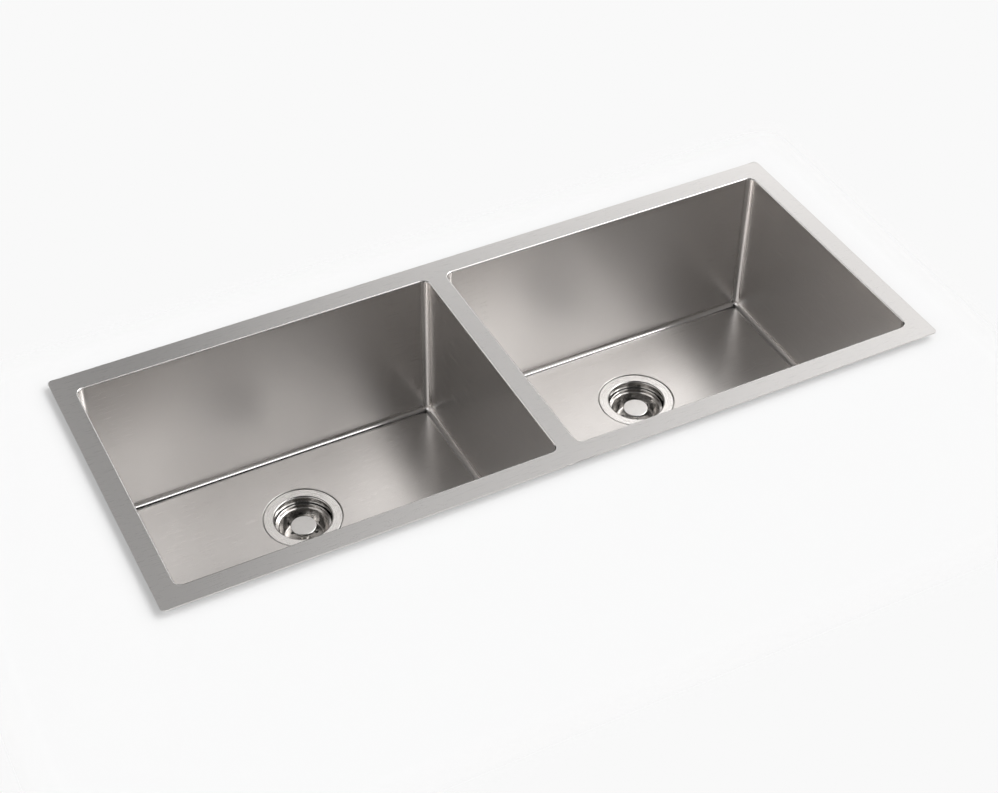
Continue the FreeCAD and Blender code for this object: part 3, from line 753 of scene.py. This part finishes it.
def threaded_metal(name, colour, rough, thread_radius):
    """Turned metal whose outside is cut with a thread."""
    material = turned_metal(name, colour, rough)
    tree = material.node_tree
    radius, depth, turn = drain_place(tree)
    wound = math_node(tree, "ADD", product(tree, depth, 2 * math.pi / THREAD_PITCH), turn)
    outside = smooth_step(tree, radius, thread_radius - EDGE_WEAR, thread_radius)
    ridge = product(tree, math_node(tree, "SINE", wound), outside)
    bump(tree, tree.nodes["Principled BSDF"], ridge, THREAD_DEPTH / 2)
    return material


def grained(name, colour, rough, scale, relief, variation=0.15, metallic=0.0, fleck=None):
    """A moulded, cast or fibrous stuff with fine grain on every side, and flecks if a colour is given."""
    material, tree, shader = new_material(name)
    place = object_place(tree)
    grain = stretched_noise(tree, place, scale)
    cloud = stretched_noise(tree, place, STUFF_CLOUD, 3.0)
    colour_now = tinted(tree, cloud, colour, (1 - variation, 1 + variation))
    if fleck:
        spots = smooth_step(tree, grain, FLECK_FROM, FLECK_TO)
        colour_now = tinted_between(tree, spots, colour_now, fleck)
    tree.links.new(colour_now, shader.inputs["Base Color"])
    rough_now = spread(tree, grain, rough - STUFF_VARIES, rough + STUFF_VARIES)
    tree.links.new(rough_now, shader.inputs["Roughness"])
    shader.inputs["Metallic"].default_value = metallic
    bump(tree, shader, grain, relief)
    return material


def node_materials():
    """A material for each kind of CAD node that stays, by the end of its name."""
    pad = grained(
        "sound_pad", (0.16, 0.16, 0.17), 0.8, (900, 900, 900), 0.12 * MM, fleck=(0.26, 0.26, 0.27)
    )
    seal = grained(
        "seal_rubber", (0.05, 0.05, 0.05), 0.6, (1500, 1500, 1500), 0.03 * MM, fleck=(0.09, 0.09, 0.09)
    )
    fibre = grained(
        "washer_fibre", (0.45, 0.33, 0.22), 0.85, (260, 1700, 1700), 0.06 * MM, 0.2, fleck=(0.6, 0.48, 0.35)
    )
    zinc = grained("nut_zinc", (0.55, 0.55, 0.54), 0.42, (1400, 1400, 1400), 0.04 * MM, 0.08, 1.0)
    nylon = grained("clip_nylon", (0.85, 0.84, 0.80), 0.45, (700, 700, 700), 0.01 * MM, 0.03)
    skin = nylon.node_tree.nodes["Principled BSDF"].inputs
    skin["Subsurface Weight"].default_value = 0.15
    skin["Subsurface Scale"].default_value = MM
    # the basket is darkened low down as painted shade under the knob
    basket = turned_metal("basket_steel", (0.66, 0.645, 0.63), 0.15, ripple=2.0, shade_depth=BASKET_SHADE_DEPTH)
    return {
        "floor_pad": pad,
        "front_pad": pad,
        "back_pad": pad,
        "end_pad": pad,
        "flange_seal": seal,
        "under_gasket": seal,
        "stopper": seal,
        "friction_washer": fibre,
        "lock_nut": zinc,
        "clip": nylon,
        "outlet": threaded_metal("outlet_steel", TURNED_STEEL, 0.25, OUTLET_RADIUS),
        "basket": basket,
        "knob": turned_metal("knob_steel", (0.74, 0.73, 0.72), 0.32, edge=KNOB_RADIUS),
        "post": turned_metal("post_steel", (0.66, 0.65, 0.63), 0.16),
        "stopper_nut": turned_metal("nut_brass", (0.72, 0.56, 0.28), 0.24),
    }


def cup_materials():
    """The strainer cup's satin flange, spun inside and threaded barrel, by their paint."""
    flange = turned_metal("flange_steel", (0.86, 0.845, 0.83), 0.27)
    cup = turned_metal("cup_steel", (0.50, 0.49, 0.48), 0.15, ripple=0.5)
    barrel = turned_metal("barrel_steel", TURNED_STEEL, 0.25)
    return [flange, cup, barrel]


# ---- stage

# the floor's and background's brightness in the picture
BACKGROUND = 0.947
# the paper's depth under the rim, how much light it gives back, the share of plain white that it shows the
# camera, and how far it reaches in under the rim
SHEET_DROP = 9 * MM
SHEET_ALBEDO = 0.885
SHEET_GLOW = 0.3
SHEET_TUCK = 24 * MM
# how far the sheet reaches past the rim: solid, then faded out, at the left, right, front and back
SHEET_SOLID = (0.18, 0.04, 0.33, 0.04)
SHEET_FADE = 0.07


def make_sheet():
    """The white paper that the rim lies just above. It ends under the rim and fades out round it."""
    skin = Skin()
    half = ((PANEL_HIGH.x - PANEL_LOW.x) / 2, (PANEL_HIGH.y - PANEL_LOW.y) / 2)
    inner = rounded_outline((0, 0), (half[0] - SHEET_TUCK, half[1] - SHEET_TUCK), RIM_CORNER)
    reach = [solid + SHEET_FADE for solid in SHEET_SOLID]
    middle = ((reach[1] - reach[0]) / 2, (reach[3] - reach[2]) / 2)
    outer_half = (half[0] + (reach[0] + reach[1]) / 2, half[1] + (reach[2] + reach[3]) / 2)
    outer = rounded_outline(middle, outer_half, SHEET_FADE)
    z = -GAUGE - SHEET_DROP
    skin.strip(flat_row(inner, z), flat_row(outer, z))
    sheet = skin.build("paper_sheet", [paper(half)])


def paper(half):
    """Matt white paper that turns clear towards the sheet's edges, by its place on the floor."""
    material, tree, shader = new_material("paper")
    shader.inputs["Base Color"].default_value = (SHEET_ALBEDO,) * 3 + (1,)
    shader.inputs["Roughness"].default_value = 1.0
    shader.inputs["Specular IOR Level"].default_value = 0.0
    x, y = split_axes(tree, object_place(tree))[:2]
    edges = (
        (x, -half[0] - SHEET_SOLID[0], -1),
        (x, half[0] + SHEET_SOLID[1], 1),
        (y, -half[1] - SHEET_SOLID[2], -1),
        (y, half[1] + SHEET_SOLID[3], 1),
    )
    cover = None
    for axis, edge, sign in edges:
        ramp = smooth_step(tree, axis, edge + sign * SHEET_FADE, edge)
        cover = ramp if cover is None else product(tree, cover, ramp)
    tree.links.new(cover, shader.inputs["Alpha"])
    own_white = add_node(tree, "ShaderNodeEmission", Strength=BACKGROUND)
    clear = add_node(tree, "ShaderNodeBsdfTransparent")
    faded = add_node(tree, "ShaderNodeMixShader")
    both = add_node(tree, "ShaderNodeMixShader")
    rays = add_node(tree, "ShaderNodeLightPath")
    tree.links.new(cover, faded.inputs["Fac"])
    tree.links.new(clear.outputs["BSDF"], faded.inputs[1])
    tree.links.new(own_white.outputs["Emission"], faded.inputs[2])
    tree.links.new(product(tree, rays.outputs["Is Camera Ray"], SHEET_GLOW), both.inputs["Fac"])
    tree.links.new(shader.outputs["BSDF"], both.inputs[1])
    tree.links.new(faded.outputs["Shader"], both.inputs[2])
    tree.links.new(both.outputs["Shader"], tree.nodes["Material Output"].inputs["Surface"])
    return material


# The studio's soft panels: azimuth from the back towards the right, width, elevation and height in degrees,
# then strength. Where panels overlap, their light adds up. Between them the studio is dark.
PANELS = (
    (60, 71, 35, 20, 4.5),
    (104, 66, 41, 16, 2.81),
    (17, 115, 19, 14, 2.7),
    (45, 45, 48, 23, 4.16),
    (230, 99, 15, 34, 1.03),
    (327, 40, 38, 16, 0.99),
    (123, 87, 19, 14, 1.55),
    (156, 227, 36, 19, 0.17),
    (18, 29, 45, 38, 0.72),
)
PANEL_SOFTNESS = 8


def make_world():
    """Soft panels above the horizon, and the white floor's own colour below it and in the background."""
    world = bpy.data.worlds.new("studio")
    world.use_nodes = True
    tree = world.node_tree
    background = tree.nodes["Background"]
    direction = add_node(tree, "ShaderNodeTexCoord").outputs["Generated"]
    height = split_axes(tree, direction)[2]
    elevation = math_node(tree, "ARCSINE", height)
    light = 0.0
    for panel in PANELS:
        light = math_node(tree, "ADD", panel_light(tree, direction, elevation, *panel), light)
    below = math_node(tree, "LESS_THAN", height, 0.0)
    rays = add_node(tree, "ShaderNodeLightPath")
    seen = math_node(tree, "MAXIMUM", rays.outputs["Is Camera Ray"], below)
    tree.links.new(mixed(tree, seen, light, BACKGROUND), background.inputs["Strength"])
    background.inputs["Color"].default_value = (1, 1, 1, 1)
    bpy.context.scene.world = world


def panel_light(tree, direction, elevation, azimuth, width, low, height, strength):
    """One soft-edged panel's light, from the direction of a ray."""
    middle = math.radians(azimuth + width / 2)
    across = add_node(tree, "ShaderNodeVectorMath", operation="DOT_PRODUCT")
    along = add_node(tree, "ShaderNodeVectorMath", operation="DOT_PRODUCT")
    across.inputs[1].default_value = (math.cos(middle), -math.sin(middle), 0)
    along.inputs[1].default_value = (math.sin(middle), math.cos(middle), 0)
    for node in (across, along):
        tree.links.new(direction, node.inputs[0])
    turn = math_node(tree, "ARCTAN2", across.outputs["Value"], along.outputs["Value"])
    turn = math_node(tree, "ABSOLUTE", turn)
    soft = math.radians(PANEL_SOFTNESS) / 2
    half = math.radians(width) / 2
    low, high = math.radians(low), math.radians(low + height)
    light = smooth_step(tree, turn, half + soft, half - soft)
    light = product(tree, light, smooth_step(tree, elevation, low - soft, low + soft))
    light = product(tree, light, smooth_step(tree, elevation, high + soft, high - soft))
    return product(tree, light, strength)


# The camera, fitted to the edges of the rim and both openings in the photo: pixels, degrees and metres.
FOCAL_PX = 1861.29
PRINCIPAL_PX = (447.98, 366.56)
FRAME_PX = (998, 793)
AZIMUTH, ELEVATION, ROLL = -26.00, 41.68, -0.46
CAMERA_AT = (-0.90446, -1.69656, 1.69290)
SENSOR_MM = 36.0


def make_camera():
    """The photo's camera, with its lens shifted to the photo's principal point."""
    data = bpy.data.cameras.new("camera")
    data.sensor_width = SENSOR_MM
    data.lens = FOCAL_PX * SENSOR_MM / FRAME_PX[0]
    data.shift_x = (FRAME_PX[0] / 2 - PRINCIPAL_PX[0]) / FRAME_PX[0]
    data.shift_y = (PRINCIPAL_PX[1] - FRAME_PX[1] / 2) / FRAME_PX[0]
    data.clip_start, data.clip_end = 0.05, 50
    camera = bpy.data.objects.new("camera", data)
    bpy.context.scene.collection.objects.link(camera)
    a, e, r = (math.radians(v) for v in (AZIMUTH, ELEVATION, ROLL))
    back = Vector((math.sin(a) * math.cos(e), -math.cos(a) * math.cos(e), math.sin(e)))
    right = Vector((math.cos(a), math.sin(a), 0))
    up = back.cross(right)
    right, up = right * math.cos(r) + up * math.sin(r), up * math.cos(r) - right * math.sin(r)
    matrix = camera.matrix_world
    for i in range(3):
        matrix[i][0], matrix[i][1], matrix[i][2], matrix[i][3] = right[i], up[i], back[i], CAMERA_AT[i]
    camera.matrix_world = matrix
    bpy.context.scene.camera = camera


def main():
    """Build the pieces, dress the CAD nodes that stay, and set up the studio."""
    steel = sheet_steel("sink_sheet", rubbed_middle=False)
    wall_steel = sheet_steel("wall_sheet", rubbed_middle=True)
    make_panel(steel)
    cup = cup_materials()
    for side in SIDES:
        make_bowl(side, wall_steel, steel)
        make_strainer(side, cup)
    paints = node_materials()
    for name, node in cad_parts.items():
        kind = name.split("_", 1)[1]
        for slot in node.material_slots:
            slot.material = paints.get(kind, steel)
    make_sheet()
    make_world()
    make_camera()
    bpy.context.scene.view_settings.view_transform = "Standard"


main()
